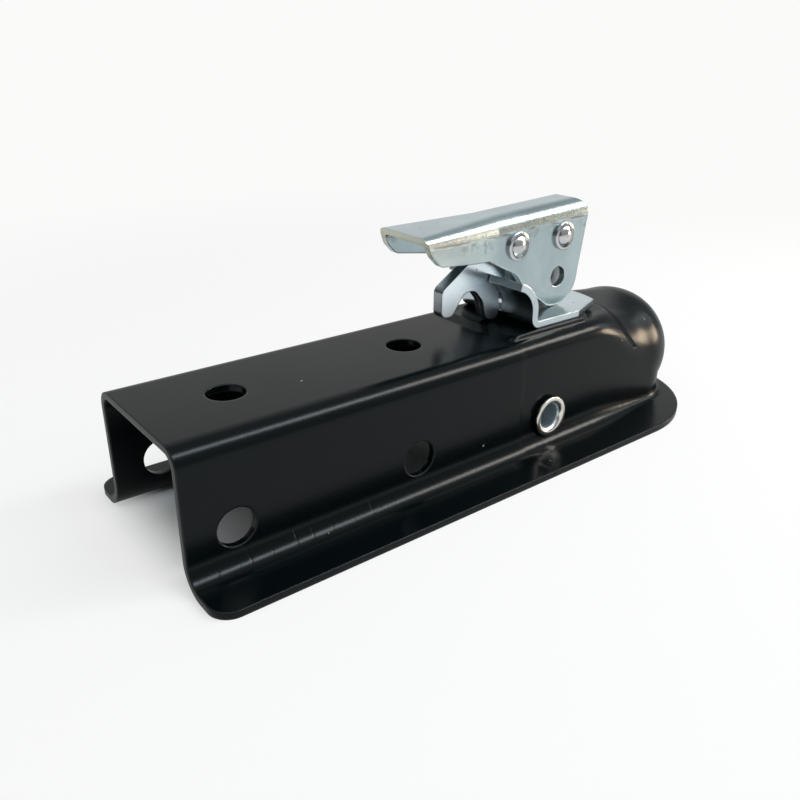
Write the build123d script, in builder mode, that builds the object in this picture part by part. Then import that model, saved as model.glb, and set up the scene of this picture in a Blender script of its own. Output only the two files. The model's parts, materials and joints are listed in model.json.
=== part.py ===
"""Straight-tongue trailer coupling head with a lever latch, in millimetres.

The origin is the centre of the hitch ball. +X points forwards to the dome, +Y to the far side and +Z up.
"""

import os
from math import asin, atan2, cos, hypot, pi, radians, sin, sqrt, tan

from build123d import *

# Ball and pressed body
ball_radius = 23.81
socket_clearance = 0.4
ball_height = 19.0
sheet = 2.4
channel_width = 51.2
channel_height = 44.7
rear_x = -214.6
flange_half_width = 46.4
flange_nose_x = -21.0
flange_corner = 7.0
foot_bend = 7.0
top_bend = 6.5
nose_foot = 21.0
nose_foot_bend = 2.6
taper_x = -82.5
crease_run = 2.2
crease_depth = 0.45
shoulder_x = -41.0
dome_flat = 0.1

# Pad pressed up out of the top, under the wear plate
pad_rise = 1.5
pad_root = 0.6
pad_slope = 1.4
pad_rear_slope = 6.0
pad_rear_x = -80.0
pad_front_x = -30.5
pad_half_width = 20.6
pad_front_half = 10.0
pad_corner = 3.0

# Bolt holes for the tongue
top_hole_radius = 6.4
top_hole_x = (-185.2, -115.5)
side_hole_radius = 6.3
side_hole_x = (-198.3, -130.3)
side_hole_height = 15.6

# Cross tube that the jaw turns on, with a sleeve on each side of the jaw
pivot_x = -66.6
pivot_height = 13.6
tube_radius = 6.0
tube_wall = 1.1
flare_radius = 7.9
flare_stand = 0.15
flare_rise = 1.15
flare_lip = 0.9
flare_roll = 1.9
seat_gap = 0.05
sleeve_radius = 7.5

# Wear plate with its keeper
plate_thick = 2.8
plate_half_width = 19.5
plate_shoulder_x = -43.9
plate_corner_x = -27.4
plate_corner_half = 13.0
plate_bulge = 2.4
keeper_x = -67.25
keeper_bend = 4.2
keeper_wall = 3.7
curl_radius = 10.0
curl_turn = 75.0
window_low = 0.6
window_height = 4.7
bar_height = 2.3
keeper_side_gap = 0.6

# Draw link with its washer and nut
link_x = -45.3
link_width = 14.0
link_thick = 8.0
link_eye = 8.0
link_slot_clearance = 0.6
link_flat_low = 9.0
shank_radius = 5.0
shank_past_nut = 1.6
washer_radius = 8.2
washer_dome = 15.0
washer_thick = 3.6
washer_gap = 0.35
nut_flats = 16.0
nut_thick = 5.4

# Lever, bent from one blank
lever_sheet = 2.7
lever_half_width = 9.5
lever_bend = 6.4
lever_heel_depth = 27.2
heel_gap = 0.5
heel_radius = 11.2
heel_forward = 1.2
lever_crown = 12.35
lever_rise = 0.052
lever_nose = 14.5
lever_nose_bend = 5.0
lever_flare_x = -80.0
lever_rear_x = -117.4
lever_rear_half = 12.8
lever_rear_bend = 3.6
skirt_lean = 0.2
lock_hole_radius = 4.0
lock_hole_back = 1.3
lock_hole_drop = 15.9
lever_under = [
    (-5.2, 0.0),
    (-19.2, 9.4),
    (-24.3, 15.8),
    (-38.9, 23.0),
    (-47.2, 23.5),
    (-65.2, 25.6),
    (-68.9, 29.3),
    (-71.6, 35.6),
]
lever_under_bends = [6.0, 8.0, 8.0, 6.0, 20.0, 3.0, 6.0, 0.0]

# Rivets and the spacers on the lever's pin
rivet_radius = 4.0
rivet_head_radius = 5.4
rivet_head_height = 2.3
rivet_head_rim = 1.1
spacer_radius = 5.9
turning_clearance = 0.06
side_clearance = 0.3

# Trigger, a plate folded double along its spine
trigger_pin_back = 24.7
trigger_pin_drop = 0.7
trigger_thick = 4.8
fold_gap = 0.5
fold_web = 2.3
trigger_boss = 6.6
trigger_front_gap = 1.1
neck_forward = 1.6
bar_gap = 0.4
tooth_depth = 1.4
tooth_low_gap = 0.5
tooth_height = 2.2
spine_back = 29.8
spine_drop = 13.7
spine_slope = 33.3
spine_top_back = 3.0
finger_drop = 24.1
finger_width = 5.2
notch_drop = 16.2
notch_back = 19.2
notch_width = 5.6
lobe_rear_drop = 21.2
lobe_rear_back = 9.3
lobe_back = 7.4
lobe_clearance = 0.8
trigger_bends = [0.0, 3.0, 2.4, 2.6, 4.0, 4.0, 6.0, 3.6, 2.2, 0.5, 0.5, 0.4, 0.4, 0.4, 0.6, 0.0]

# Trigger spring, with a spacer on the other side of the trigger
coil_wire = 1.1
coil_clearance = 0.3
coil_rounds = 1
coil_pitch = 1.15
coil_side_gap = 0.65
lever_leg_back = 10.0
lever_leg_room = 4.2
spine_leg = 12.0
peg_radius = 1.0
peg_gap = 0.1
peg_inset = 1.5
trigger_spacer_radius = 5.5

# Ball jaw and its spring
jaw_half_width = 16.0
jaw_arm = 4.5
jaw_web = 5.0
jaw_web_height = 22.3
jaw_boss = 9.4
jaw_cup_clearance = 0.1
jaw_lip_height = 8.5
jaw_front_wall = 9.0
jaw_slot_width = 11.8
jaw_slot_length = 15.4
jaw_slot_back = 1.2
spring_wire = 2.0
spring_coil_radius = 10.3
spring_turns = 4.5
spring_seat_gap = 0.3

flange_bottom = -ball_height
flange_top = flange_bottom + sheet
channel_top = flange_bottom + channel_height
crown_top = channel_top + pad_rise
channel_half = channel_width / 2 + sheet
dome_inner = ball_radius + socket_clearance
dome_outer = dome_inner + sheet
plate_top = crown_top + plate_thick
lever_pin_z = plate_top + heel_gap + lever_heel_depth
lever_inner_half = lever_half_width - lever_sheet
pivot_z = flange_bottom + pivot_height
trigger_pin_x = link_x - trigger_pin_back
trigger_pin_z = lever_pin_z - trigger_pin_drop
past = 1.0


def share(value, start, end):
    """How far a value has come from start to end, from 0 to 1."""
    return min(1.0, max(0.0, (value - start) / (end - start)))


def ease(part):
    """Turns an even share into one that starts and ends gently."""
    return (1 - cos(pi * part)) / 2


def skin(x):
    """Half width, top, top bend and foot bend of the pressing's outer skin at a station."""
    dome = ease(share(x, shoulder_x, 0))
    crease_end = taper_x + crease_run
    waist = channel_half - crease_depth * share(x, taper_x, crease_end)
    half = waist + (dome_outer - waist) * share(x, crease_end, 0)
    top = channel_top + (dome_outer - channel_top) * dome
    bend = top_bend + (dome_outer - dome_flat - top_bend) * dome
    foot = foot_bend + (nose_foot_bend - foot_bend) * dome
    return half, top, bend, foot


def station(x):
    """Plane across the coupler, with Y to its right and Z up."""
    return Plane(origin=(x, 0, 0), x_dir=(0, 1, 0), z_dir=(1, 0, 0))


def outer_section(x):
    """Outside of the pressing across the coupler, flange and all."""
    half, top, bend, foot = skin(x)
    edge = flange_half_width + past
    with BuildSketch(station(x)) as section:
        with BuildLine():
            FilletPolyline(
                (-edge, flange_bottom),
                (-edge, flange_top),
                (-half, flange_top),
                (-half, top),
                (half, top),
                (half, flange_top),
                (edge, flange_top),
                (edge, flange_bottom),
                radius=[0, 0, foot, bend, bend, foot, 0, 0],
                close=True,
            )
        make_face()
    return section.sketch


def inner_section(x):
    """Hollow of the pressing across the coupler, open at the bottom."""
    half, top, bend, foot = skin(x)
    foot = foot + sheet
    edge = half - sheet + foot + past
    with BuildSketch(station(x)) as section:
        with BuildLine():
            FilletPolyline(
                (-edge, flange_bottom - past),
                (-edge, flange_bottom),
                (sheet - half, flange_bottom),
                (sheet - half, top - sheet),
                (half - sheet, top - sheet),
                (half - sheet, flange_bottom),
                (edge, flange_bottom),
                (edge, flange_bottom - past),
                radius=[0, 0, foot, bend - sheet, bend - sheet, foot, 0, 0],
                close=True,
            )
        make_face()
    return section.sketch


def nose_profile(radius, low):
    """Half outline of the dome about the ball's axis, down to a level."""
    bend = radius - dome_flat
    foot = sqrt(radius**2 - low**2)
    with BuildSketch(Plane.YZ) as profile:
        with BuildLine():
            Polyline((0, radius), (0, low), (-foot, low))
            RadiusArc((-foot, low), (-radius, 0), radius)
            Line((-radius, 0), (-radius, dome_flat))
            RadiusArc((-radius, dome_flat), (-dome_flat, radius), bend)
            Line((-dome_flat, radius), (0, radius))
        make_face()
    return profile.sketch


def nose_plan(reach, half, level):
    """Front half of the nose's oval foot, seen from above."""
    with BuildSketch(Plane.XY.offset(level)) as plan:
        Ellipse(reach, half)
        split(bisect_by=Plane.YZ)
    return plan.sketch


def nose_feet(reach, half, level, bend):
    """Levels of the nose's foot, hollowed like a fillet from the flange up to the wall."""
    turns = [i * pi / 2 / foot_steps for i in range(foot_steps + 1)]
    spread = [bend - bend * sin(turn) for turn in turns]
    levels = [level + bend - bend * cos(turn) for turn in turns]
    return [nose_plan(reach + s, half + s, z) for s, z in zip(spread, levels)]


def between(start, end, steps):
    """Even stations from start to end, both counted."""
    return [start + (end - start) * i / steps for i in range(steps + 1)]


def pad_plan(level, spread, rear_spread):
    """Outline of the pad at a level, widened by a spread at its sides and rear."""
    half = pad_half_width + spread
    with BuildSketch(Plane.XY.offset(level)) as plan:
        with BuildLine():
            FilletPolyline(
                (pad_rear_x - rear_spread, -half),
                (shoulder_x, -half),
                (pad_front_x + spread, -pad_front_half),
                (pad_front_x + spread, pad_front_half),
                (shoulder_x, half),
                (pad_rear_x - rear_spread, half),
                radius=pad_corner,
                close=True,
            )
        make_face()
    return plan.sketch


dome_steps = 6
foot_steps = 6
body_stations = [taper_x, taper_x + crease_run, shoulder_x]
dome_stations = between(shoulder_x, 0, dome_steps)

# The body is one pressing: channel, flange all round and ball dome
with BuildPart() as coupler_body:
    extrude(outer_section(rear_x), amount=taper_x - rear_x)
    loft([outer_section(x) for x in body_stations], ruled=True)
    loft([outer_section(x) for x in dome_stations])
    with BuildSketch(Plane.XY.offset(flange_bottom)):
        with BuildLine():
            FilletPolyline(
                (past, -flange_half_width),
                (rear_x, -flange_half_width),
                (rear_x, flange_half_width),
                (past, flange_half_width),
                radius=flange_corner,
            )
            Line((past, flange_half_width), (past, -flange_half_width))
        make_face()
        with Locations((flange_nose_x + flange_half_width, 0)):
            Rectangle(2 * flange_half_width, 2 * flange_half_width, mode=Mode.SUBTRACT)
        with Locations((flange_nose_x, 0)):
            Circle(flange_half_width)
    extrude(amount=2 * channel_height, mode=Mode.INTERSECT)
    with BuildSketch(Plane.XY.offset(flange_bottom)):
        with Locations((flange_nose_x, 0)):
            Circle(flange_half_width)
        split(bisect_by=Plane.YZ)
    extrude(amount=sheet)
    loft(nose_feet(nose_foot, dome_outer, flange_top, nose_foot_bend), ruled=True)
    extrude(nose_plan(nose_foot, dome_outer, flange_bottom), amount=ball_height)
    revolve(nose_profile(dome_outer, flange_bottom), axis=Axis.Z, revolution_arc=180)
    pad_foot = pad_plan(channel_top - pad_root, pad_slope, pad_rear_slope)
    loft([pad_foot, pad_plan(crown_top, 0, 0)], ruled=True)

    extrude(inner_section(rear_x), amount=taper_x - rear_x, mode=Mode.SUBTRACT)
    loft([inner_section(x) for x in body_stations], ruled=True, mode=Mode.SUBTRACT)
    loft([inner_section(x) for x in dome_stations], mode=Mode.SUBTRACT)
    loft(
        nose_feet(nose_foot - sheet, dome_inner, flange_bottom, nose_foot_bend + sheet),
        ruled=True,
        mode=Mode.SUBTRACT,
    )
    extrude(
        nose_plan(nose_foot - sheet, dome_inner, flange_bottom - past),
        amount=ball_height + past,
        mode=Mode.SUBTRACT,
    )
    revolve(
        nose_profile(dome_inner, flange_bottom - past),
        axis=Axis.Z,
        revolution_arc=180,
        mode=Mode.SUBTRACT,
    )

    hollow_foot = pad_plan(channel_top - pad_root - sheet, pad_slope, pad_rear_slope)
    loft([hollow_foot, pad_plan(crown_top - sheet, 0, 0)], ruled=True, mode=Mode.SUBTRACT)

    with Locations(*[(x, 0, channel_top) for x in top_hole_x]):
        Hole(top_hole_radius, depth=2 * sheet)
    side_hole_z = flange_bottom + side_hole_height
    with Locations(*[Location((x, 0, side_hole_z), (90, 0, 0)) for x in side_hole_x]):
        Cylinder(side_hole_radius, 4 * channel_half, mode=Mode.SUBTRACT)
    with Locations(Location((pivot_x, 0, pivot_z), (90, 0, 0))):
        Cylinder(tube_radius + seat_gap, 4 * channel_half, mode=Mode.SUBTRACT)
    with Locations((link_x, 0, crown_top)):
        Box(
            link_width + 2 * link_slot_clearance,
            link_thick + 2 * link_slot_clearance,
            4 * sheet,
            mode=Mode.SUBTRACT,
        )
    with Locations((0, 0, crown_top)):
        Box(
            -2 * rear_x,
            4 * channel_half,
            channel_height,
            align=(Align.CENTER, Align.CENTER, Align.MIN),
            mode=Mode.SUBTRACT,
        )

# Flared cross tube through both walls
flare_foot = skin(pivot_x - flare_radius)[0] + flare_stand
flare_edge = flare_foot + flare_rise
flare_end = flare_edge + flare_lip
tube_bore = tube_radius - tube_wall
with BuildPart() as pivot_tube:
    with BuildSketch(Plane(origin=(pivot_x, 0, pivot_z), x_dir=(1, 0, 0), z_dir=(0, 0, 1))):
        with BuildLine():
            FilletPolyline(
                (tube_bore, -flare_end),
                (flare_radius, -flare_end),
                (flare_radius, -flare_edge),
                (tube_radius, -flare_foot),
                (tube_radius, flare_foot),
                (flare_radius, flare_edge),
                (flare_radius, flare_end),
                (tube_bore, flare_end),
                radius=[flare_roll, flare_lip / 2, 0, 0, 0, 0, flare_lip / 2, flare_roll],
                close=True,
            )
        make_face()
    revolve(axis=Axis((pivot_x, 0, pivot_z), (0, 1, 0)))

# Sleeves that hold the jaw in the middle of the tube
sleeve_outer = skin(pivot_x + sleeve_radius)[0] - sheet - seat_gap
sleeve_inner = jaw_half_width + side_clearance
with BuildPart() as pivot_spacers:
    with BuildSketch(Plane.XZ.offset(sleeve_inner)):
        with Locations((pivot_x, pivot_z)):
            Circle(sleeve_radius)
            Circle(tube_radius, mode=Mode.SUBTRACT)
    extrude(amount=sleeve_outer - sleeve_inner)
    mirror(about=Plane.XZ)

# Wear plate, with the keeper turned up and curled back at its rear edge
with BuildPart() as wear_plate:
    with BuildSketch(Plane.XY.offset(crown_top)):
        with BuildLine():
            Polyline(
                (plate_corner_x, plate_corner_half),
                (plate_shoulder_x, plate_half_width),
                (keeper_x + keeper_bend, plate_half_width),
                (keeper_x + keeper_bend, -plate_half_width),
                (plate_shoulder_x, -plate_half_width),
                (plate_corner_x, -plate_corner_half),
            )
            ThreePointArc(
                (plate_corner_x, -plate_corner_half),
                (plate_corner_x + plate_bulge, 0),
                (plate_corner_x, plate_corner_half),
            )
        make_face()
    extrude(amount=plate_thick)
    keeper_rear = keeper_x - plate_thick
    with BuildSketch(Plane.XZ):
        with BuildLine():
            FilletPolyline(
                (keeper_x + keeper_bend, crown_top),
                (keeper_rear, crown_top),
                (keeper_rear, plate_top + keeper_wall),
                radius=keeper_bend,
            )
            CenterArc((keeper_rear - curl_radius, plate_top + keeper_wall), curl_radius, 0, curl_turn)
            offset(amount=plate_thick, side=Side.RIGHT)
        make_face()
    extrude(amount=plate_half_width, both=True)
    window_z = plate_top + window_low
    bar_z = window_z + window_height
    slot_z = bar_z + bar_height
    slot_width = trigger_thick + 2 * keeper_side_gap
    with Locations((keeper_rear, 0, window_z)):
        Box(
            4 * plate_thick,
            slot_width,
            window_height,
            align=(Align.CENTER, Align.CENTER, Align.MIN),
            mode=Mode.SUBTRACT,
        )
    with Locations((keeper_x, 0, slot_z)):
        Box(
            4 * curl_radius,
            slot_width,
            4 * curl_radius,
            align=(Align.CENTER, Align.CENTER, Align.MIN),
            mode=Mode.SUBTRACT,
        )
    with Locations((link_x, 0, crown_top)):
        Box(
            link_width + 2 * link_slot_clearance,
            link_thick + 2 * link_slot_clearance,
            4 * plate_thick,
            mode=Mode.SUBTRACT,
        )

# Jaw: a web with two arms, a boss on the tube and a cup behind the ball
jaw_top = flange_bottom + jaw_web_height
jaw_under = jaw_top - jaw_web
jaw_lip = flange_bottom + jaw_lip_height
cup_radius = dome_inner + jaw_cup_clearance
cup_mouth_x = -sqrt(cup_radius**2 - jaw_lip**2)
with BuildPart() as ball_jaw:
    with BuildSketch(Plane.XZ):
        with BuildLine():
            Polyline(
                (pivot_x, jaw_top),
                (cup_mouth_x + past, jaw_top),
                (cup_mouth_x + past, jaw_lip),
                (cup_mouth_x - jaw_front_wall, jaw_lip),
                (pivot_x, pivot_z - jaw_boss),
                close=True,
            )
        make_face()
        with Locations((pivot_x, pivot_z)):
            Circle(jaw_boss)
    extrude(amount=jaw_half_width, both=True)
    Sphere(cup_radius, mode=Mode.SUBTRACT)
    pocket_rear = pivot_x + jaw_boss
    pocket_front = cup_mouth_x - jaw_front_wall
    with Locations(((pocket_rear + pocket_front) / 2, 0, jaw_under)):
        Box(
            pocket_front - pocket_rear,
            2 * (jaw_half_width - jaw_arm),
            4 * jaw_boss,
            align=(Align.CENTER, Align.CENTER, Align.MAX),
            mode=Mode.SUBTRACT,
        )
    with Locations(Location((pivot_x, 0, pivot_z), (90, 0, 0))):
        Cylinder(tube_radius + turning_clearance, 4 * jaw_half_width, mode=Mode.SUBTRACT)
    with BuildSketch(Plane.XY.offset(jaw_under - past)):
        with Locations((link_x - jaw_slot_back, 0)):
            SlotOverall(jaw_slot_length, jaw_slot_width)
    extrude(amount=jaw_web + 2 * past, mode=Mode.SUBTRACT)

# Spring that pushes the jaw open as the link comes down
spring_low = jaw_top + spring_seat_gap + spring_wire / 2
spring_high = crown_top - sheet - spring_seat_gap - spring_wire / 2
with BuildPart() as jaw_spring:
    with BuildLine(Plane.XY.offset(spring_low).shift_origin((link_x, 0, spring_low))) as coil:
        Helix((spring_high - spring_low) / spring_turns, spring_high - spring_low, spring_coil_radius)
    with BuildSketch(Plane(origin=coil.line @ 0, z_dir=coil.line % 0)):
        Circle(spring_wire / 2)
    sweep(path=coil.line)

# Draw link: flat bar with an eye, round shank below
washer_hole = shank_radius + turning_clearance
washer_crest = jaw_under - washer_gap
washer_low = washer_crest - washer_thick
nut_low = washer_low - nut_thick
shank_low = nut_low - shank_past_nut
lock_x = link_x - lock_hole_back
lock_z = lever_pin_z - lock_hole_drop
with BuildPart() as draw_link:
    with BuildSketch(Plane.XZ):
        with Locations((link_x, lever_pin_z)):
            Circle(link_eye)
            Rectangle(link_width, lever_pin_z - link_flat_low, align=(Align.CENTER, Align.MAX))
            Circle(rivet_radius + turning_clearance, mode=Mode.SUBTRACT)
        with Locations((lock_x, lock_z)):
            Circle(lock_hole_radius, mode=Mode.SUBTRACT)
    extrude(amount=link_thick / 2, both=True)
    with Locations((link_x, 0, shank_low)):
        Cylinder(
            shank_radius,
            link_flat_low + past - shank_low,
            align=(Align.CENTER, Align.CENTER, Align.MIN),
        )

# Washer with a rounded top that lets the jaw rock on it
washer_centre = washer_crest - sqrt(washer_dome**2 - washer_hole**2)
washer_edge = washer_centre + sqrt(washer_dome**2 - washer_radius**2)
with BuildPart() as rocker_washer:
    with BuildSketch(Plane.XZ.shift_origin((link_x, 0, 0))):
        with BuildLine():
            Polyline(
                (washer_hole, washer_crest),
                (washer_hole, washer_low),
                (washer_radius, washer_low),
                (washer_radius, washer_edge),
            )
            RadiusArc((washer_radius, washer_edge), (washer_hole, washer_crest), -washer_dome)
        make_face()
    revolve(axis=Axis((link_x, 0, 0), (0, 0, 1)))

# Nut that sets how hard the jaw is drawn up
with BuildPart() as adjusting_nut:
    with BuildSketch(Plane.XY.offset(nut_low).shift_origin((link_x, 0, nut_low))):
        RegularPolygon(nut_flats / 2, 6, major_radius=False)
        Circle(shank_radius, mode=Mode.SUBTRACT)
    extrude(amount=nut_thick)

# Lever: a channel with a rounded back, widening into a grip at the rear
lever_front_x = link_x + lever_nose


def lever_top(x):
    """Height of the lever's back at a station."""
    return lever_pin_z + lever_crown + lever_rise * (x - link_x)


def lever_section(x, inset):
    """Channel of the lever across the coupler, moved in by an inset."""
    flare = share(x, lever_flare_x, lever_rear_x - past)
    half = lever_half_width + (lever_rear_half - lever_half_width) * flare
    bend = lever_bend + (lever_rear_bend - lever_bend) * flare - inset
    lean = skirt_lean * flare
    top = lever_top(x) - inset
    half = half + lean * inset - inset * sqrt(1 + lean**2)
    depth = top - crown_top
    with BuildSketch(station(x)) as section:
        with BuildLine():
            FilletPolyline(
                (-half - lean * depth, top - depth),
                (-half, top),
                (half, top),
                (half + lean * depth, top - depth),
                radius=[0, bend, bend, 0],
                close=True,
            )
        make_face()
    return section.sketch


lever_stations = [lever_rear_x - past, lever_flare_x, lever_front_x + past]
heel_z = lever_pin_z - lever_heel_depth
heel_x = link_x - heel_forward
heel_centre_z = heel_z + heel_radius
under = [(link_x + x, heel_z + z) for x, z in lever_under]
with BuildPart() as lever_handle:
    loft([lever_section(x, 0) for x in lever_stations], ruled=True)
    loft([lever_section(x, lever_sheet) for x in lever_stations], ruled=True, mode=Mode.SUBTRACT)
    with BuildSketch(Plane.XZ):
        with BuildLine():
            FilletPolyline(
                (heel_x + heel_radius, heel_centre_z),
                (lever_front_x, lever_top(lever_front_x) + seat_gap),
                (lever_rear_x, lever_top(lever_rear_x) + seat_gap),
                *reversed(under),
                (heel_x, heel_z),
                radius=[lever_nose_bend, 0, *reversed(lever_under_bends)],
            )
            RadiusArc((heel_x, heel_z), (heel_x + heel_radius, heel_centre_z), -heel_radius)
        make_face()
    extrude(amount=4 * lever_half_width, both=True, mode=Mode.INTERSECT)
    pins = [(link_x, 0, lever_pin_z), (trigger_pin_x, 0, trigger_pin_z)]
    with Locations(*[Location(pin, (90, 0, 0)) for pin in pins]):
        Cylinder(rivet_radius, 4 * lever_half_width, mode=Mode.SUBTRACT)
    with Locations(Location((lock_x, 0, lock_z), (90, 0, 0))):
        Cylinder(lock_hole_radius, 4 * lever_half_width, mode=Mode.SUBTRACT)


def rivet_profile(x, z):
    """Half outline of a rivet across the lever, with a low round head at each end."""
    seat = lever_half_width
    rim = seat + rivet_head_rim
    crown = seat + rivet_head_height
    with BuildSketch(Plane(origin=(x, 0, z), x_dir=(1, 0, 0), z_dir=(0, 0, 1))) as profile:
        with BuildLine():
            Polyline(
                (rivet_head_radius, rim),
                (rivet_head_radius, seat),
                (rivet_radius, seat),
                (rivet_radius, -seat),
                (rivet_head_radius, -seat),
                (rivet_head_radius, -rim),
            )
            ThreePointArc((rivet_head_radius, -rim), (0, -crown), (-rivet_head_radius, -rim))
            ThreePointArc((rivet_head_radius, rim), (0, crown), (-rivet_head_radius, rim))
            Line((-rivet_head_radius, -rim), (-rivet_head_radius, rim))
        make_face()
        split(bisect_by=Plane.YZ)
    return profile.sketch


# Rivet that joins the lever to the link
with BuildPart() as lever_rivet:
    revolve(rivet_profile(link_x, lever_pin_z), axis=Axis((link_x, 0, lever_pin_z), (0, 1, 0)))

# Rivet that the trigger turns on
with BuildPart() as trigger_rivet:
    revolve(
        rivet_profile(trigger_pin_x, trigger_pin_z),
        axis=Axis((trigger_pin_x, 0, trigger_pin_z), (0, 1, 0)),
    )

# Spacers on each side of the link
spacer_inner = link_thick / 2 + side_clearance
with BuildPart() as link_spacers:
    with BuildSketch(Plane.XZ.offset(spacer_inner)):
        with Locations((link_x, lever_pin_z)):
            Circle(spacer_radius)
            Circle(rivet_radius, mode=Mode.SUBTRACT)
    extrude(amount=lever_inner_half - spacer_inner)
    mirror(about=Plane.XZ)

# Trigger: a folded plate with a finger hook, a lobe and a tooth under the keeper's bar
front_x = keeper_rear - trigger_front_gap
tooth_x = keeper_rear + tooth_depth
neck_x = trigger_pin_x + neck_forward
tooth_low = window_z + tooth_low_gap
tooth_top = tooth_low + tooth_height
neck_low = slot_z + bar_gap
finger_x = trigger_pin_x - spine_back
finger_tip = trigger_pin_z - finger_drop
notch_x = trigger_pin_x - notch_back
notch_z = trigger_pin_z - notch_drop
lobe_z = crown_top + lobe_clearance
spine_low_z = trigger_pin_z - spine_drop
spine_high_x = trigger_pin_x - spine_top_back
slope = radians(spine_slope)
spine_rise = (spine_high_x - finger_x) * tan(slope)
spine_way = Vector(-cos(slope), 0, -sin(slope))
spine_side = Vector(-sin(slope), 0, cos(slope))
coil_radius = rivet_radius + coil_clearance + coil_wire / 2
peg_rise = coil_radius - coil_wire / 2 - peg_gap - peg_radius
peg = Vector(trigger_pin_x, 0, trigger_pin_z) + peg_rise * spine_side + (spine_leg - peg_inset) * spine_way
with BuildPart() as trigger:
    with BuildSketch(Plane.XZ):
        with BuildLine():
            FilletPolyline(
                (spine_high_x, spine_low_z + spine_rise),
                (finger_x, spine_low_z),
                (finger_x, finger_tip),
                (finger_x + finger_width, finger_tip),
                (notch_x, notch_z),
                (notch_x + notch_width, notch_z),
                (trigger_pin_x - lobe_rear_back, trigger_pin_z - lobe_rear_drop),
                (trigger_pin_x - lobe_back, lobe_z),
                (front_x, lobe_z),
                (front_x, tooth_low),
                (tooth_x, tooth_low),
                (tooth_x, tooth_top),
                (front_x, tooth_top),
                (front_x, neck_low),
                (neck_x, neck_low),
                (neck_x, trigger_pin_z),
                radius=trigger_bends,
                close=True,
            )
        make_face()
        with Locations((trigger_pin_x, trigger_pin_z)):
            Circle(trigger_boss)
    extrude(amount=trigger_thick / 2, both=True)
    with BuildSketch(Plane.XZ):
        with Locations(Location((finger_x, spine_low_z, 0), (0, 0, spine_slope))):
            with Locations((0, -fold_web)):
                Rectangle(8 * spine_back, 4 * spine_back, align=(Align.CENTER, Align.MAX))
        with Locations((finger_x + fold_web, spine_low_z)):
            Rectangle(
                8 * spine_back,
                8 * spine_back,
                align=(Align.MIN, Align.CENTER),
                mode=Mode.INTERSECT,
            )
    extrude(amount=fold_gap / 2, both=True, mode=Mode.SUBTRACT)
    with BuildSketch(Plane.XZ.offset(-trigger_thick / 2)):
        with Locations((peg.X, peg.Z)):
            Circle(peg_radius)
    extrude(amount=-coil_side_gap - coil_wire)
    with Locations(Location((trigger_pin_x, 0, trigger_pin_z), (90, 0, 0))):
        Cylinder(rivet_radius + turning_clearance, 2 * trigger_thick, mode=Mode.SUBTRACT)

# Spacer on the trigger's rivet, on the side without the spring
with BuildPart() as trigger_spacer:
    with BuildSketch(Plane.XZ.offset(trigger_thick / 2 + side_clearance)):
        with Locations((trigger_pin_x, trigger_pin_z)):
            Circle(trigger_spacer_radius)
            Circle(rivet_radius, mode=Mode.SUBTRACT)
    extrude(amount=lever_inner_half - trigger_thick / 2 - side_clearance)

# Spring round the trigger's rivet, with one leg on the trigger's peg and one under the lever's roof
coil_start = trigger_thick / 2 + coil_side_gap + coil_wire / 2
roof_z = lever_top(trigger_pin_x - lever_leg_back) - lever_sheet
foot_rise = roof_z - lever_leg_room - coil_wire / 2 - trigger_pin_z
foot_reach = hypot(lever_leg_back, foot_rise)
lever_leg = sqrt(foot_reach**2 - coil_radius**2)
lever_leg_angle = atan2(foot_rise, -lever_leg_back) - asin(coil_radius / foot_reach)
coil_turns = coil_rounds + (slope - lever_leg_angle) / (2 * pi) + 1
coil_plane = Plane(origin=(trigger_pin_x, coil_start, trigger_pin_z), x_dir=spine_side, z_dir=(0, 1, 0))
winding = coil_plane * Helix(coil_pitch, coil_turns * coil_pitch, coil_radius)
with BuildPart() as trigger_spring:
    with BuildSketch(Plane(origin=winding @ 0, z_dir=winding % 0)):
        Circle(coil_wire / 2)
    sweep(path=winding)
    with BuildSketch(Plane(origin=winding @ 0, z_dir=winding % 0)):
        Circle(coil_wire / 2)
    extrude(amount=-spine_leg)
    with BuildSketch(Plane(origin=winding @ 1, z_dir=winding % 1)):
        Circle(coil_wire / 2)
    extrude(amount=lever_leg)

coupler_body.part.label = "coupler_body"
pivot_tube.part.label = "pivot_tube"
pivot_spacers.part.label = "pivot_spacers"
wear_plate.part.label = "wear_plate"
ball_jaw.part.label = "ball_jaw"
jaw_spring.part.label = "jaw_spring"
draw_link.part.label = "draw_link"
rocker_washer.part.label = "rocker_washer"
adjusting_nut.part.label = "adjusting_nut"
lever_handle.part.label = "lever_handle"
lever_rivet.part.label = "lever_rivet"
trigger_rivet.part.label = "trigger_rivet"
link_spacers.part.label = "link_spacers"
trigger.part.label = "trigger"
trigger_spacer.part.label = "trigger_spacer"
trigger_spring.part.label = "trigger_spring"

os.makedirs("parts", exist_ok=True)
export_step(coupler_body.part, "parts/coupler_body.step")
export_step(pivot_tube.part, "parts/pivot_tube.step")
export_step(pivot_spacers.part, "parts/pivot_spacers.step")
export_step(wear_plate.part, "parts/wear_plate.step")
export_step(ball_jaw.part, "parts/ball_jaw.step")
export_step(jaw_spring.part, "parts/jaw_spring.step")
export_step(draw_link.part, "parts/draw_link.step")
export_step(rocker_washer.part, "parts/rocker_washer.step")
export_step(adjusting_nut.part, "parts/adjusting_nut.step")
export_step(lever_handle.part, "parts/lever_handle.step")
export_step(lever_rivet.part, "parts/lever_rivet.step")
export_step(trigger_rivet.part, "parts/trigger_rivet.step")
export_step(link_spacers.part, "parts/link_spacers.step")
export_step(trigger.part, "parts/trigger.step")
export_step(trigger_spacer.part, "parts/trigger_spacer.step")
export_step(trigger_spring.part, "parts/trigger_spring.step")
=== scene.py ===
import json
from math import radians

import bpy
from mathutils import Euler, Matrix, Vector


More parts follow.
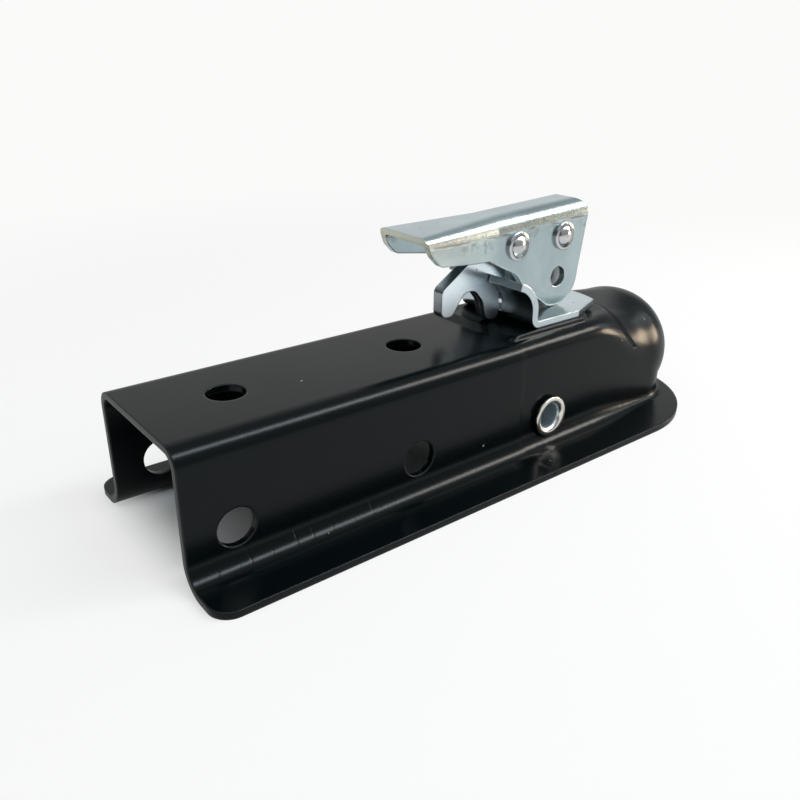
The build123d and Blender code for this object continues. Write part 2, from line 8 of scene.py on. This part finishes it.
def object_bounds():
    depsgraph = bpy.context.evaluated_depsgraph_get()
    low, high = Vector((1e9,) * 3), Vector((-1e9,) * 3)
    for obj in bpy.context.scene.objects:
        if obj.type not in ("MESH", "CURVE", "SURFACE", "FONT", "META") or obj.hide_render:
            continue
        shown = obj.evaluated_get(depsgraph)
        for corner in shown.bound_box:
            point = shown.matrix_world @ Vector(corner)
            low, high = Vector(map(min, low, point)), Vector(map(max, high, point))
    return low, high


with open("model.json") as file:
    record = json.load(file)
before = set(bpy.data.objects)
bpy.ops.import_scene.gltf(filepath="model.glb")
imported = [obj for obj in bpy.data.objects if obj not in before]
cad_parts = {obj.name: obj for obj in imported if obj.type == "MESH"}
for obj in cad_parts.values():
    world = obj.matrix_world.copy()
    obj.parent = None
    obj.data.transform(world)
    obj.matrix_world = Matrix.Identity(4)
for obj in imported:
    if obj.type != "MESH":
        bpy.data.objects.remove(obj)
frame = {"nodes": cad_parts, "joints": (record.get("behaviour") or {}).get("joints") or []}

cad_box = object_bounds()
nodes = frame["nodes"]

# The body is one steel pressing: a channel for the tongue, a flange all round and the ball dome.
# It is dipped in black paint, which lies smooth with a faint orange peel and keeps a little dust.
# The press has stretched the sheet in the foot bend and left a crease between shoulder and dome.


class Tone:
    """A socket of a finish, which takes part in sums as a number does."""

    def __init__(self, tree, socket=None):
        self.tree = tree
        self.socket = socket

    def node(self, kind, settings=None, sockets=None, output=0):
        """Adds a node, makes its settings, fills its sockets and gives one of its outputs."""
        made = self.tree.nodes.new("ShaderNode" + kind)
        for name, value in (settings or {}).items():
            setattr(made, name, value)
        for name, value in (sockets or {}).items():
            if isinstance(value, Tone):
                self.tree.links.new(value.socket, made.inputs[name])
            else:
                made.inputs[name].default_value = value
        return Tone(self.tree, made.outputs[output] if len(made.outputs) else None)

    def sum(self, operation, first, second):
        return self.node("Math", {"operation": operation}, {0: first, 1: second})

    def __add__(self, other):
        return self.sum("ADD", self, other)

    def __radd__(self, other):
        return self.sum("ADD", other, self)

    def __sub__(self, other):
        return self.sum("SUBTRACT", self, other)

    def __rsub__(self, other):
        return self.sum("SUBTRACT", other, self)

    def __mul__(self, other):
        return self.sum("MULTIPLY", self, other)

    def __rmul__(self, other):
        return self.sum("MULTIPLY", other, self)

    def __truediv__(self, other):
        return self.sum("DIVIDE", self, other)

    def __rtruediv__(self, other):
        return self.sum("DIVIDE", other, self)


def new_finish(name):
    """An empty material and the place of a point on the piece, in metres."""
    material = bpy.data.materials.new(name)
    material.use_nodes = True
    material.node_tree.nodes.clear()
    place = Tone(material.node_tree).node("TexCoord", output="Object")
    return material, place


def between(tone, low, high):
    """0 below low, 1 above high and a soft step in between."""
    return tone.node(
        "MapRange",
        {"interpolation_type": "SMOOTHSTEP"},
        {"Value": tone, "From Min": low, "From Max": high},
    )


def within(tone, rise, fall):
    """Goes up from 0 to 1 over the rise and down again over the fall."""
    return between(tone, *rise) * (1 - between(tone, *fall))


def noise(place, scale, detail=2.0, roughness=0.5):
    """Cloudy grain, with about scale lumps to the metre."""
    sockets = {"Vector": place, "Scale": scale, "Detail": detail, "Roughness": roughness}
    return place.node("TexNoise", None, sockets)


def drawn_out(place, scale, stretch):
    """Grain stretched along one or two of the axes."""
    return noise(place.node("Mapping", None, {"Vector": place, "Scale": stretch}), scale)


def specks(place, scale, size, share):
    """Small round spots, one in the given share of the cells of a loose grid."""
    cells = {"Vector": place, "Scale": scale}
    distance = place.node("TexVoronoi", None, cells, output="Distance")
    colour = place.node("TexVoronoi", None, cells, output="Color")
    chance = place.node("SeparateColor", None, {"Color": colour}, output="Red")
    return (1 - between(distance, size * 0.5, size)) * between(chance, 1 - share, 1 - share * 0.9)


def along(place, axis):
    """One of a point's three measures."""
    return place.node("SeparateXYZ", None, {"Vector": place}, output=axis)


def unsigned(tone):
    """A measure without its sign, so that both sides of the middle are alike."""
    return tone.node("Math", {"operation": "ABSOLUTE"}, {0: tone})


def blend_colour(mask, first, second):
    """Goes from the first colour to the second as the mask goes from 0 to 1."""
    return mask.node("Mix", {"data_type": "RGBA"}, {0: mask, 6: first, 7: second}, output=2)


def rounded_edges(place, radius):
    """The normal of a piece whose edges are rounded."""
    return place.node("Bevel", {"samples": 8}, {"Radius": radius})


def edge_wear(place, rounded):
    """1 along the piece's rounded edges and 0 on its flats."""
    flat = place.node("NewGeometry", output="Normal")
    cosine = place.node("VectorMath", {"operation": "DOT_PRODUCT"}, {0: rounded, 1: flat}, output="Value")
    return between(1 - cosine, 0.01, 0.2)


def relief(place, strength, depth, height, normal):
    """The normal of a surface with fine relief on it."""
    sockets = {"Strength": strength, "Distance": depth, "Height": height, "Normal": normal}
    return place.node("Bump", None, sockets)


paint_black = (0.0014, 0.0032, 0.0039, 1)
dust_grey = (0.40, 0.41, 0.41, 1)
rubbed_grey_and_highlight = (0.10, 0.105, 0.11, 1)
painted_edge = 0.0010
peel_depth = 0.0004
press_depth = 0.0010
foot_bend_rise = (-0.0172, -0.0150)
foot_bend_fall = (-0.0105, -0.0080)
stretched_end = (-0.175, -0.125)
along_bend = (1.0, 0.05, 0.05)
crease_lean = (0.73, 0.27, 0.628)
crease_reach = 0.0039
crease_rise = (-0.0018, 0.0)
crease_fall = (0.0, 0.0006)
crease_bottom = (0.0095, 0.0115)
crease_top = (0.0225, 0.0265)
crease_rear = (-0.032, -0.026)
wall_step = (-0.0830, -0.0798)
wall_side = (0.015, 0.020)

black_paint, place = new_finish("black_paint")
rounded = rounded_edges(place, painted_edge)
edge_wear_and_highlight = edge_wear(place, rounded)
dust = specks(place, 130.0, 0.075, 0.07)
peel = noise(place, 650.0)
cloud = noise(place, 22.0, 4.0)
x = along(place, "X")
z = along(place, "Z")
side = unsigned(along(place, "Y"))

in_foot_bend = within(z, foot_bend_rise, foot_bend_fall) * (1 - between(x, *stretched_end))
stretch_marks = between(drawn_out(place, 520.0, along_bend), 0.60, 0.68) * in_foot_bend
past_crease = crease_lean[0] * x + crease_lean[1] * side + crease_lean[2] * z - crease_reach
crease_length = within(z, crease_bottom, crease_top) * between(x, *crease_rear)
crease = 2.2 * within(past_crease, crease_rise, crease_fall) * crease_length
soft_step = 0.32 * between(x, *wall_step) * between(side, *wall_side)

paint_colour = blend_colour(dust * 0.55, paint_black, dust_grey)
# The rounded edges are painted paler: partly rubbed paint, partly a painted highlight along the edges.
paint_colour = blend_colour(edge_wear_and_highlight * (0.1 + 0.4 * cloud), paint_colour, rubbed_grey_and_highlight)
peel_relief = relief(place, 0.035, peel_depth, peel + 0.6 * dust, rounded)
press_marks = soft_step - crease - 0.10 * stretch_marks
paint_relief = relief(place, 0.9, press_depth, press_marks, peel_relief)
gloss = place.node(
    "BsdfPrincipled",
    None,
    {
        "Base Color": paint_colour,
        "Roughness": 0.18 + 0.08 * cloud + 0.2 * dust,
        "Specular IOR Level": 0.28,
        "Normal": paint_relief,
    },
)
binder = place.node(
    "BsdfPrincipled",
    None,
    {"Base Color": paint_colour, "Roughness": 0.6, "Specular IOR Level": 0.0, "Normal": paint_relief},
)
painted = place.node("MixShader", None, {0: 0.42 + 0.06 * cloud, 1: gloss, 2: binder})
place.node("OutputMaterial", None, {"Surface": painted})
nodes["coupler_body"].material_slots[0].material = black_paint

# The cross tube is the jaw's hinge pin, a bright steel tube through both side walls.
# Its ends are flared over the walls so that it can't come out, and its bore is painted pale blue as a painted
# glint of light inside it.

hinges = {joint["name"]: joint["pos_m"] for joint in frame["joints"] if joint["type"] == "hinge"}


def from_axis(place, hinge):
    """How far a point lies from a hinge's axis, which runs across the coupler."""
    axis_x, _, axis_z = hinges[hinge]
    moved = {"Vector": place, "Location": (-axis_x, 0, -axis_z), "Scale": (1, 0, 1)}
    shifted = place.node("Mapping", None, moved)
    return place.node("VectorMath", {"operation": "LENGTH"}, {0: shifted}, output="Value")


def metal(place, colour, roughness, normal, metallic=1.0):
    """Closes a bare metal finish."""
    sockets = {"Base Color": colour, "Metallic": metallic, "Roughness": roughness, "Normal": normal}
    shader = place.node("BsdfPrincipled", None, sockets)
    place.node("OutputMaterial", None, {"Surface": shader})


tube_shade = (0.58, 0.55, 0.50, 1)
tube_bright = (0.80, 0.78, 0.74, 1)
bore_glint_blue = (0.78, 0.87, 0.92, 1)
bore_edge = (0.0050, 0.0054)
steel_edge = 0.0003
steel_depth = 0.0002

eyelet_steel, place = new_finish("eyelet_steel")
cloud = noise(place, 120.0, 4.0)
grain = noise(place, 1600.0)
in_bore = 1 - between(from_axis(place, "jaw_swing"), *bore_edge)
tube_colour = blend_colour(cloud, tube_shade, tube_bright)
# The bore's pale blue is a painted glint, not a plating.
tube_colour = blend_colour(in_bore, tube_colour, bore_glint_blue)
tube_relief = relief(place, 0.06, steel_depth, grain + cloud, rounded_edges(place, steel_edge))
metal(place, tube_colour, 0.12 + 0.14 * cloud + 0.2 * in_bore, tube_relief)
nodes["pivot_tube"].material_slots[0].material = eyelet_steel

# Two sleeves on the cross tube hold the jaw in the middle of the channel.
# They are cut from plain steel tube with a satin skin and are held between the jaw and the walls.
steel_shade = (0.36, 0.37, 0.38, 1)
steel_bright = (0.52, 0.53, 0.54, 1)

plain_steel, place = new_finish("plain_steel")
cloud = noise(place, 90.0, 5.0)
grain = noise(place, 1900.0)
steel_colour = blend_colour(cloud, steel_shade, steel_bright)
steel_relief = relief(place, 0.1, steel_depth, grain + cloud, rounded_edges(place, steel_edge))
metal(place, steel_colour, 0.30 + 0.15 * cloud, steel_relief)
nodes["pivot_spacers"].material_slots[0].material = plain_steel

# The jaw clamps the ball from behind and below, and turns on the cross tube.
# It is an iron casting with a rough dark skin, rubbed bright along its edges.
iron_dark = (0.055, 0.055, 0.057, 1)
iron_pale = (0.12, 0.118, 0.115, 1)
iron_rubbed = (0.32, 0.32, 0.32, 1)
cast_edge = 0.0008
cast_depth = 0.0003

jaw_iron, place = new_finish("jaw_iron")
rounded = rounded_edges(place, cast_edge)
cloud = noise(place, 60.0, 6.0, 0.6)
skin = noise(place, 900.0, 4.0, 0.7)
jaw_colour = blend_colour(cloud, iron_dark, iron_pale)
jaw_colour = blend_colour(edge_wear(place, rounded) * 0.6, jaw_colour, iron_rubbed)
jaw_relief = relief(place, 0.35, cast_depth, skin, rounded)
metal(place, jaw_colour, 0.5 + 0.2 * cloud, jaw_relief, metallic=0.8)
nodes["ball_jaw"].material_slots[0].material = jaw_iron

# The jaw's coil spring stands under the crown and pushes the jaw open.
# It is wound from drawn spring wire, grey and a little dull.
wire_dark = (0.14, 0.145, 0.155, 1)
wire_pale = (0.30, 0.30, 0.31, 1)
wire_depth = 0.0002

spring_steel, place = new_finish("spring_steel")
cloud = noise(place, 140.0, 4.0)
grain = noise(place, 1500.0)
wire_colour = blend_colour(cloud, wire_dark, wire_pale)
wire_relief = relief(place, 0.1, wire_depth, grain, place.node("NewGeometry", output="Normal"))
metal(place, wire_colour, 0.32 + 0.15 * cloud, wire_relief)
nodes["jaw_spring"].material_slots[0].material = spring_steel

# The wear plate is bent from thick strip, with its rear edge turned up as the latch's keeper.
# It is zinc plated: pale blue-silver, cloudy, with fine pits and drawn lines left by the mill.
# It lies on the body's raised pad, and the lever's heel bears on it.
pit_dark = (0.14, 0.14, 0.13, 1)
zinc_rubbed = (0.80, 0.82, 0.82, 1)
zinc_edge = 0.0006
zinc_depth = 0.0003
rolled_along = (0.06, 1.0, 1.0)


def bright_zinc(name, pale, deep, rough):
    """Zinc plate before it is marked: its finish, the place on it, its rounded edges and its looks."""
    material, place = new_finish(name)
    rounded = rounded_edges(place, zinc_edge)
    cloud = noise(place, 55.0, 5.0, 0.55)
    grain = noise(place, 1100.0, 3.0, 0.6)
    pits = specks(place, 240.0, 0.15, 0.09)
    colour = blend_colour(between(cloud, 0.25, 0.75), deep, pale)
    colour = blend_colour(pits * 0.6, colour, pit_dark)
    colour = blend_colour(edge_wear(place, rounded) * 0.5, colour, zinc_rubbed)
    mill_lines = drawn_out(place, 1200.0, rolled_along)
    height = 0.5 * cloud + 0.25 * grain + 0.25 * mill_lines - 0.8 * pits
    return material, place, rounded, colour, height, rough + 0.08 * cloud


def plate_over(place, rounded, colour, height, rough):
    """Closes a zinc plate with its marks on it."""
    metal(place, colour, rough, relief(place, 0.07, zinc_depth, height, rounded))


strip_pale = (0.51, 0.585, 0.625, 1)
strip_deep = (0.43, 0.50, 0.53, 1)
zinc_strip, *strip_looks = bright_zinc("zinc_strip", strip_pale, strip_deep, 0.19)
plate_over(*strip_looks)
nodes["wear_plate"].material_slots[0].material = zinc_strip

# The draw link is a flat steel bar with an eye at the top and a threaded shank below.
# It hangs on the lever's front rivet, and a round-topped washer and a nut on its shank carry the jaw.
for name in ("draw_link", "rocker_washer", "adjusting_nut"):
    nodes[name].material_slots[0].material = plain_steel

# The lever is bent from one zinc plated blank into two cheeks and a rounded back that flares at the grip.
# Low on the bend the plating has a speckled warm band that is a painted reflection, with a scuffed die line
# under it and a raw rear edge.
# The front rivet hinges it on the draw link.
lever_pale = (0.385, 0.472, 0.495, 1)
lever_deep = (0.305, 0.375, 0.398, 1)
speckled_warm_reflection = (0.26, 0.245, 0.20, 1)
scuff_dark = (0.15, 0.15, 0.145, 1)
smudge_grey = (0.19, 0.20, 0.20, 1)
raw_brass = (0.60, 0.58, 0.44, 1)
back_height = 0.07005
back_rise = 0.052
flare_reach = (-0.1184, -0.080)
bend_drop = 0.0064
flare_loss = 0.0028
scuffs_along = (0.25, 1.0, 1.0)
grip_end = (-0.112, -0.110)

zinc_lever, place, rounded, colour, height, rough = bright_zinc("zinc_lever", lever_pale, lever_deep, 0.21)
x = along(place, "X")
back = back_height + back_rise * (x - hinges["handle_lift"][0])
flare = 1 - between(x, *flare_reach)
down_bend = (back - along(place, "Z")) / (bend_drop - flare_loss * flare)
on_bend = within(down_bend, (0.08, 0.25), (0.85, 1.0))
low_on_bend = within(down_bend, (0.48, 0.66), (0.84, 0.98))
under_bend = within(down_bend, (0.95, 1.1), (1.5, 2.4))

speckle = between(noise(place, 1500.0, 2.0, 0.7), 0.42, 0.60)
ragged = noise(place, 260.0, 4.0, 0.7)
die_line_top = between(down_bend + 0.25 * ragged, 1.04, 1.10)
die_line = die_line_top * (1 - between(down_bend + 0.35 * ragged, 1.24, 1.38))
scuffs = between(drawn_out(place, 520.0, scuffs_along), 0.44, 0.58)
smudges = between(noise(place, 150.0, 5.0, 0.65), 0.53, 0.66) * under_bend
facing_rear = 0.0 - along(place.node("TexCoord", output="Normal"), "X")
raw_end = between(facing_rear, 0.70, 0.90) * (1 - between(x, *grip_end))

# The speckled warm band low on the bend is a painted reflection of warm light.
colour = blend_colour(low_on_bend * (0.10 + 0.70 * speckle), colour, speckled_warm_reflection)
colour = blend_colour(die_line * scuffs * 0.8, colour, scuff_dark)
colour = blend_colour(smudges * 0.45, colour, smudge_grey)
colour = blend_colour(raw_end * (0.35 + 0.55 * ragged), colour, raw_brass)
height = height + 0.5 * on_bend * speckle - 1.5 * die_line * scuffs
rough = rough + 0.10 * low_on_bend * speckle + 0.15 * die_line + 0.15 * raw_end
plate_over(place, rounded, colour, height, rough)
nodes["lever_handle"].material_slots[0].material = zinc_lever

# Plain steel washers fill the room between the lever's cheeks.
# Two sit on the front rivet beside the link's eye, and one on the rear rivet beside the trigger.
for name in ("link_spacers", "trigger_spacer"):
    nodes[name].material_slots[0].material = plain_steel

# Two rivets with low button heads are the hinge pins of the link and the trigger in the lever.
# They are bright steel, set with a cupped punch that rounds the head and leaves a ring on it, whose groove is
# painted dark as painted shade.
rivet_shade = (0.40, 0.405, 0.41, 1)
rivet_bright = (0.66, 0.665, 0.67, 1)
ring_groove_shade = (0.16, 0.16, 0.16, 1)
rivet_edge = 0.0006
rivet_depth = 0.0006
ring_inside = (0.0038, 0.0043)
ring_outside = (0.0043, 0.0048)
crown_reach = 0.0043
crown_fall = 70

for name, hinge in (("lever_rivet", "handle_lift"), ("trigger_rivet", "trigger_squeeze")):
    polished, place = new_finish("polished_" + name)
    cloud = noise(place, 190.0, 5.0, 0.6)
    dents = noise(place, 420.0)
    out = from_axis(place, hinge)
    ring = within(out, ring_inside, ring_outside)
    rivet_colour = blend_colour(cloud, rivet_shade, rivet_bright)
    # The ring's groove is painted dark: painted shade.
    rivet_colour = blend_colour(ring * 0.6, rivet_colour, ring_groove_shade)
    on_top = out.sum("MINIMUM", out, crown_reach)
    crown = -crown_fall * on_top * on_top
    domed = relief(place, 1.0, 1.0, crown, rounded_edges(place, rivet_edge))
    rivet_relief = relief(place, 0.14, rivet_depth, dents + 0.5 * cloud - 2.0 * ring, domed)
    metal(place, rivet_colour, 0.13 + 0.12 * cloud, rivet_relief)
    nodes[name].material_slots[0].material = polished

# The trigger is a zinc plated plate folded double, with painted shade on its rear-facing cut edges and a
# finger dulled by handling.
# It turns on the rear rivet, hooks under the keeper and is squeezed to free the lever.
# The trigger's zinc is painted far paler than the other zinc parts: painted light on it.
trigger_lit_pale = (0.76, 0.85, 0.90, 1)
trigger_lit_deep = (0.64, 0.725, 0.775, 1)
cut_edge_shade = (0.10, 0.11, 0.115, 1)
finger_top = (0.036, 0.046)

zinc_trigger, place, rounded, colour, height, rough = bright_zinc(
    "zinc_trigger", trigger_lit_pale, trigger_lit_deep, 0.18
)
handled = 1 - between(along(place, "Z"), *finger_top)
facing_rear = 0.0 - along(place.node("TexCoord", output="Normal"), "X")
# Faces that look to the rear are painted dark: painted shade on the cut edges.
colour = blend_colour(between(facing_rear, 0.35, 0.65) * 0.75, colour, cut_edge_shade)
plate_over(place, rounded, colour, height, rough + 0.16 * handled)
nodes["trigger"].material_slots[0].material = zinc_trigger

# The trigger's spring is a few turns of the same spring wire round the rear rivet.
# One leg bears under the lever's back and the other on a peg of the trigger, which it turns back.
nodes["trigger_spring"].material_slots[0].material = spring_steel

# The studio floor is a wide sheet of plain pale paper, and the flange stands on it.
# It shows the camera and the shiny pieces its white, but not under the body, where the shadow stays.
floor_level = cad_box[0][2]
floor_half = 4.0
floor_shade = (0.92, 0.92, 0.915, 1)
floor_pale = (0.95, 0.95, 0.945, 1)
paper_white = (1, 1, 0.995, 1)
white_level = 0.955
flange_side = (0.034, 0.050)
flange_front = (-0.02, 0.008)
flange_rear = (-0.224, -0.196)
white_share = 0.76
white_reach = (0.18, 0.6)


def seen(place, mirrored=1.0):
    """1 for rays that end in the picture, straight or, where mirrored is 1, by way of a shiny piece."""
    camera_ray = place.node("LightPath", output="Is Camera Ray")
    glossy_ray = place.node("LightPath", output="Is Glossy Ray")
    clear_ray = place.node("LightPath", output="Is Transmission Ray")
    return between(camera_ray + (glossy_ray + clear_ray) * mirrored, 0.0, 1.0)


floor_mesh = bpy.data.meshes.new("studio_floor")
floor_mesh.from_pydata(
    [
        (-floor_half, -floor_half, floor_level),
        (floor_half, -floor_half, floor_level),
        (floor_half, floor_half, floor_level),
        (-floor_half, floor_half, floor_level),
    ],
    [],
    [(0, 1, 2, 3)],
)
floor = bpy.data.objects.new("studio_floor", floor_mesh)
bpy.context.scene.collection.objects.link(floor)

pale_floor, place = new_finish("pale_floor")
floor_colour = blend_colour(noise(place, 3.0), floor_shade, floor_pale)
beside = between(unsigned(along(place, "Y")), *flange_side)
x = along(place, "X")
past_ends = between(x, *flange_front) + 1 - between(x, *flange_rear)
beside = beside + (1 - beside) * past_ends
away = place.node("VectorMath", {"operation": "LENGTH"}, {0: place}, output="Value")
share = beside * (white_share + (1 - white_share) * between(away, *white_reach))
lit = place.node("BsdfPrincipled", None, {"Base Color": floor_colour, "Roughness": 0.9})
paper = place.node("Emission", None, {"Color": paper_white, "Strength": white_level})
fading = place.node("MixShader", None, {0: share * seen(place), 1: lit, 2: paper})
place.node("OutputMaterial", None, {"Surface": fading})
floor_mesh.materials.append(pale_floor)

# The surround is a white backdrop behind the coupler in a room with an even, dim fill light.
# Shiny pieces mirror the white from the backdrop and partly from overhead, and the room's rear end is dimmer.
fill_colour = (0.93, 0.975, 1.0, 1)
fill_level = 0.42
dim_level = 0.10
backdrop_way = (0.362, 0.932, 0.0)
overhead_share = 0.36

world = bpy.data.worlds.new("studio_world")
world.use_nodes = True
world.node_tree.nodes.clear()
sky = Tone(world.node_tree)
white = sky.node("Background", None, {"Color": paper_white, "Strength": white_level})
fill = sky.node("Background", None, {"Color": fill_colour, "Strength": fill_level})
dim = sky.node("Background", None, {"Color": fill_colour, "Strength": dim_level})
way = sky.node("TexCoord", output="Generated")
upward = along(way, "Z")
to_dim_end = between(0.0 - along(way, "X"), 0.30, 0.70) * (1 - between(upward, 0.40, 0.70))
room = sky.node("MixShader", None, {0: to_dim_end, 1: fill, 2: dim})
to_backdrop = sky.node("VectorMath", {"operation": "DOT_PRODUCT"}, {0: way, 1: backdrop_way}, output="Value")
mirrored = between(to_backdrop, 0.45, 0.85) + overhead_share * between(upward, 0.5, 0.75)
surround = sky.node("MixShader", None, {0: seen(sky, mirrored), 1: room, 2: white})
sky.node("OutputWorld", None, {"Surface": surround})
bpy.context.scene.world = world

# The lamps are square soft boxes: a row over the right side, whose mirror images lie along the bends,
# a warm one low in front of the dome, a cool one above it and a large weak one over the rear.
cool = (0.80, 0.92, 1.0)
middle = Vector((-0.05, 0, 0.01))
soft_boxes = (
    ("lamp_row_1", (0.085, -0.50, 0.85), 0.22, 2.15, cool),
    ("lamp_row_2", (0.300, -0.46, 0.78), 0.22, 1.95, (0.86, 0.95, 1.0)),
    ("lamp_row_3", (0.500, -0.41, 0.70), 0.22, 2.05, (1.0, 0.97, 0.92)),
    ("lamp_row_4", (0.680, -0.36, 0.61), 0.22, 2.35, (1.0, 0.93, 0.84)),
    ("lamp_low", (0.90, -0.42, 0.15), 0.24, 3.8, (1.0, 0.81, 0.60)),
    ("lamp_cool", (0.81, -0.25, 0.42), 0.34, 0.6, cool),
    ("lamp_left", (-0.60, -0.15, 0.95), 0.60, 1.2, (0.95, 0.98, 1.0)),
)
for name, stand, size, power, colour in soft_boxes:
    lamp = bpy.data.lights.new(name, "AREA")
    lamp.size = size
    lamp.energy = power
    lamp.color = colour
    soft_box = bpy.data.objects.new(name, lamp)
    soft_box.location = stand
    soft_box.rotation_euler = (soft_box.location - middle).to_track_quat("Z", "Y").to_euler()
    bpy.context.scene.collection.objects.link(soft_box)

# The camera stands where the photograph was taken from, behind and to the right of the coupler.
# Its place, turn and lens come from a perspective fit to the photograph, in pixels of its 800 px frame.
photo_width = 800
focal_px = 797.285
centre_px = (403.55, 395.27)
stand = (-0.28222, -0.20980, 0.12488)
look_down = 23.901
look_right = 38.518
roll = 0.574

camera_data = bpy.data.cameras.new("photo_camera")
camera_data.sensor_width = 36.0
camera_data.lens = focal_px / photo_width * camera_data.sensor_width
camera_data.shift_x = (photo_width / 2 - centre_px[0]) / photo_width
camera_data.shift_y = (centre_px[1] - photo_width / 2) / photo_width
camera = bpy.data.objects.new("photo_camera", camera_data)
aim = Euler((radians(90 - look_down), 0, radians(-look_right))).to_matrix()
turn = aim @ Matrix.Rotation(radians(roll), 3, "Z")
camera.matrix_world = Matrix.Translation(stand) @ turn.to_4x4()
bpy.context.scene.collection.objects.link(camera)
bpy.context.scene.camera = camera
bpy.context.scene.view_settings.view_transform = "Standard"
